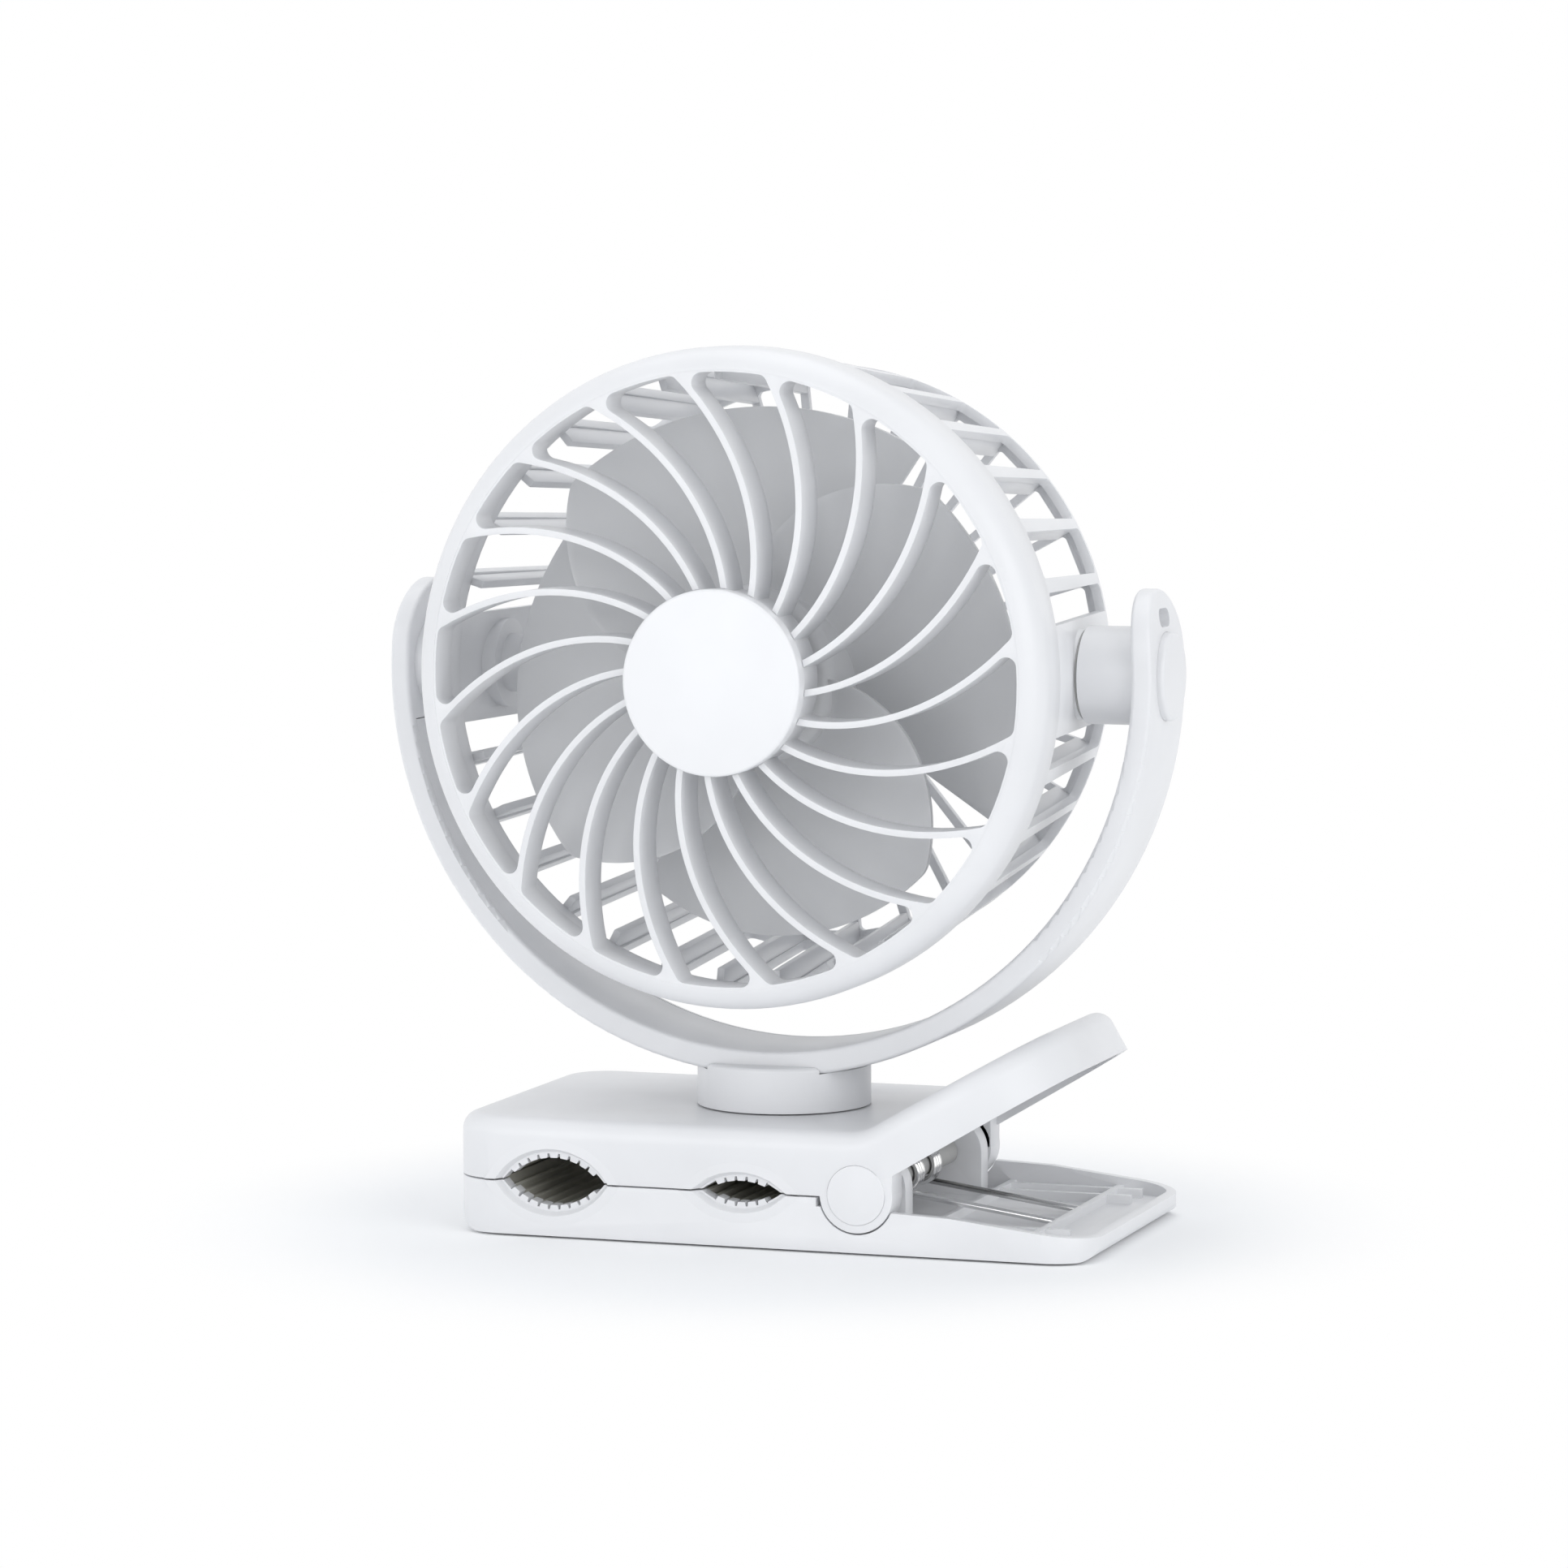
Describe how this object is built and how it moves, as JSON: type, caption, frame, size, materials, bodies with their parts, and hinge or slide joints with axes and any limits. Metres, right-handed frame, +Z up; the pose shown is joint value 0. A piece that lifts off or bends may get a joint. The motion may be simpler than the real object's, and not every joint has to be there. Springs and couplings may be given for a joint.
{
  "type": "clip fan",
  "caption": "Small desk and clip-on fan: caged round head tilting in a bow-shaped yoke that swivels on a spring clip base with toothed grip holes and a raised squeeze handle.",
  "frame": {"origin": "where the swivel axis meets the surface that the fan stands on", "axes": "+Z up, the fan blows toward -Y, the clip opens toward -X and its handle rises toward +X; closed clip and upright head, as in the picture"},
  "size_m": [0.1794, 0.0879, 0.1946],
  "materials": {
    "white_plastic": "satin",
    "blade_plastic": "satin",
    "cap_plastic": "satin",
    "grey_plastic": "satin",
    "olive_rubber": "matte",
    "dark_rubber": "matte",
    "steel": "brushed",
    "spring_steel": "polished",
    "motor_steel": "satin",
    "brass": "satin",
    "cell_wrap": "satin",
    "board": "matte",
    "lamp_lens": "clear"
  },
  "bodies": {
    "lower_clip": {"lower_jaw": "white_plastic", "foot_pad": "dark_rubber", "lower_grip_large": "olive_rubber", "lower_grip_small": "olive_rubber", "hinge_pin": "steel", "pin_sleeve": "grey_plastic", "torsion_spring": "spring_steel"},
    "upper_clip": {"upper_jaw": "white_plastic", "upper_grip_large": "olive_rubber", "upper_grip_small": "olive_rubber", "hinge_caps": "white_plastic", "jaw_plate": "white_plastic", "jaw_screws": "steel", "battery": "cell_wrap", "control_board": "board", "usb_socket": "steel", "indicator_lens": "lamp_lens"},
    "button": {"power_button": "grey_plastic"},
    "bow": {"yoke": "white_plastic", "yoke_cover": "white_plastic", "swivel_drum": "white_plastic", "yoke_screws": "steel", "swivel_washer": "grey_plastic", "swivel_screws": "steel", "pivot_caps": "white_plastic"},
    "head": {"rear_housing": "white_plastic", "front_grille": "white_plastic", "centre_cap": "cap_plastic", "pivot_screws": "steel", "pivot_washers": "grey_plastic", "motor": "motor_steel", "motor_cover": "white_plastic", "motor_screws": "steel"},
    "rotor": {"impeller": "blade_plastic", "motor_shaft": "steel", "shaft_nut": "brass"}
  },
  "joints": [
    {"name": "clip_hinge", "type": "hinge", "parent": "lower_clip", "child": "upper_clip", "pos_m": [0.0298, 0, 0.013], "axis": [0, 1, 0], "range_deg": [0, 35], "stiffness_Nm_per_rad": 1, "springref_deg": -57.3, "deforming": ["torsion_spring"]},
    {"name": "button_press", "type": "slide", "parent": "upper_clip", "child": "button", "axis": [0, -1, 0], "range_m": [0, 0.0008], "stiffness_N_per_m": 600, "springref_m": -0.001},
    {"name": "swivel", "type": "hinge", "parent": "upper_clip", "child": "bow", "pos_m": [0, 0, 0.0262], "axis": [0, 0, 1], "range_deg": [-170, 170]},
    {"name": "tilt", "type": "hinge", "parent": "bow", "child": "head", "pos_m": [0, 0, 0.1231], "axis": [1, 0, 0], "range_deg": [-170, 170]},
    {"name": "impeller_spin", "type": "hinge", "parent": "head", "child": "rotor", "pos_m": [0, 0, 0.1231], "axis": [0, 1, 0], "continuous": true}
  ]
}
